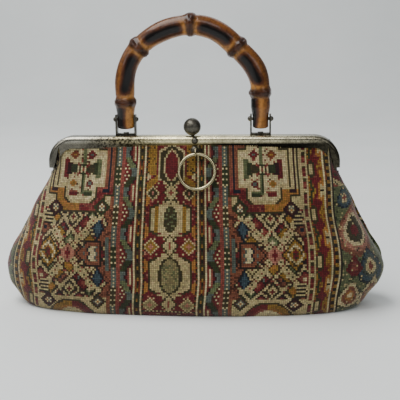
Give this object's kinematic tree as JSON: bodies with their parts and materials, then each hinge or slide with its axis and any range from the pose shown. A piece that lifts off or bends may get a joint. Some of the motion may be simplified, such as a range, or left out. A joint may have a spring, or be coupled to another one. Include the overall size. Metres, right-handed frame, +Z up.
{
  "type": "framed needlepoint bag",
  "caption": "Soft needlepoint bag on a hinged metal frame, with an arched bamboo handle, a sprung ball clasp and a ring pull; holds needlework or personal things.",
  "frame": {"origin": "centre of the bag's footprint, on the surface that it stands on", "axes": "+X along the frame to the right of the bag's front, +Y from the front to the back, +Z up"},
  "size_m": [0.3631, 0.1004, 0.2752],
  "materials": {
    "needlepoint": "wool tent stitch, many colours",
    "lining_cloth": "matte woven cotton",
    "board": "plain",
    "frame_metal": "aged nickel plate, tarnished",
    "clamp_cord": "twisted paper cord",
    "bamboo": "glossy varnish over scorched cane",
    "dark_steel": "darkened plate",
    "ball_metal": "dark polished pewter",
    "ring_metal": "pale polished, worn"
  },
  "bodies": {
    "bag_body": {"front_frame": "frame_metal", "hinge_rivet_left": "frame_metal", "hinge_rivet_right": "frame_metal", "front_clamp_strip": "clamp_cord", "front_neck_panel": "needlepoint", "front_panel": "needlepoint", "back_panel": "needlepoint", "left_gusset": "needlepoint", "right_gusset": "needlepoint", "base_panel": "needlepoint", "base_board": "board", "lining": "lining_cloth", "catch_plate": "frame_metal", "catch_ball": "ball_metal", "ring_boss": "ball_metal", "ring_hanger": "ring_metal"},
    "rear_half": {"rear_frame": "frame_metal", "rear_clamp_strip": "clamp_cord", "back_neck_panel": "needlepoint", "bracket_left": "dark_steel", "bracket_right": "dark_steel", "bracket_rivet_left": "dark_steel", "bracket_rivet_right": "dark_steel", "handle_pin_left": "dark_steel", "handle_pin_right": "dark_steel", "latch_seat": "dark_steel", "latch_pivot_pin": "dark_steel", "latch_spring": "dark_steel"},
    "latch": {"latch_post": "dark_steel", "latch_ball": "ball_metal"},
    "handle": {"bamboo_handle": "bamboo"},
    "ring": {"pull_ring": "ring_metal"}
  },
  "joints": [
    {"name": "frame_open", "type": "hinge", "parent": "bag_body", "child": "rear_half", "pos_m": [0, 0, 0.129], "axis": [-1, 0, 0], "range_deg": [0, 75]},
    {"name": "handle_swing", "type": "hinge", "parent": "rear_half", "child": "handle", "pos_m": [0, 0.0045, 0.1796], "axis": [1, 0, 0], "range_deg": [-95, 95]},
    {"name": "latch_tilt", "type": "hinge", "parent": "rear_half", "child": "latch", "pos_m": [0, 0.0045, 0.1604], "axis": [-1, 0, 0], "range_deg": [0, 12], "stiffness_Nm_per_rad": 0.6, "springref_deg": -4.58},
    {"name": "ring_swing", "type": "hinge", "parent": "bag_body", "child": "ring", "pos_m": [0.004, -0.018, 0.15], "axis": [-1, 0, 0], "range_deg": [0, 120]}
  ]
}
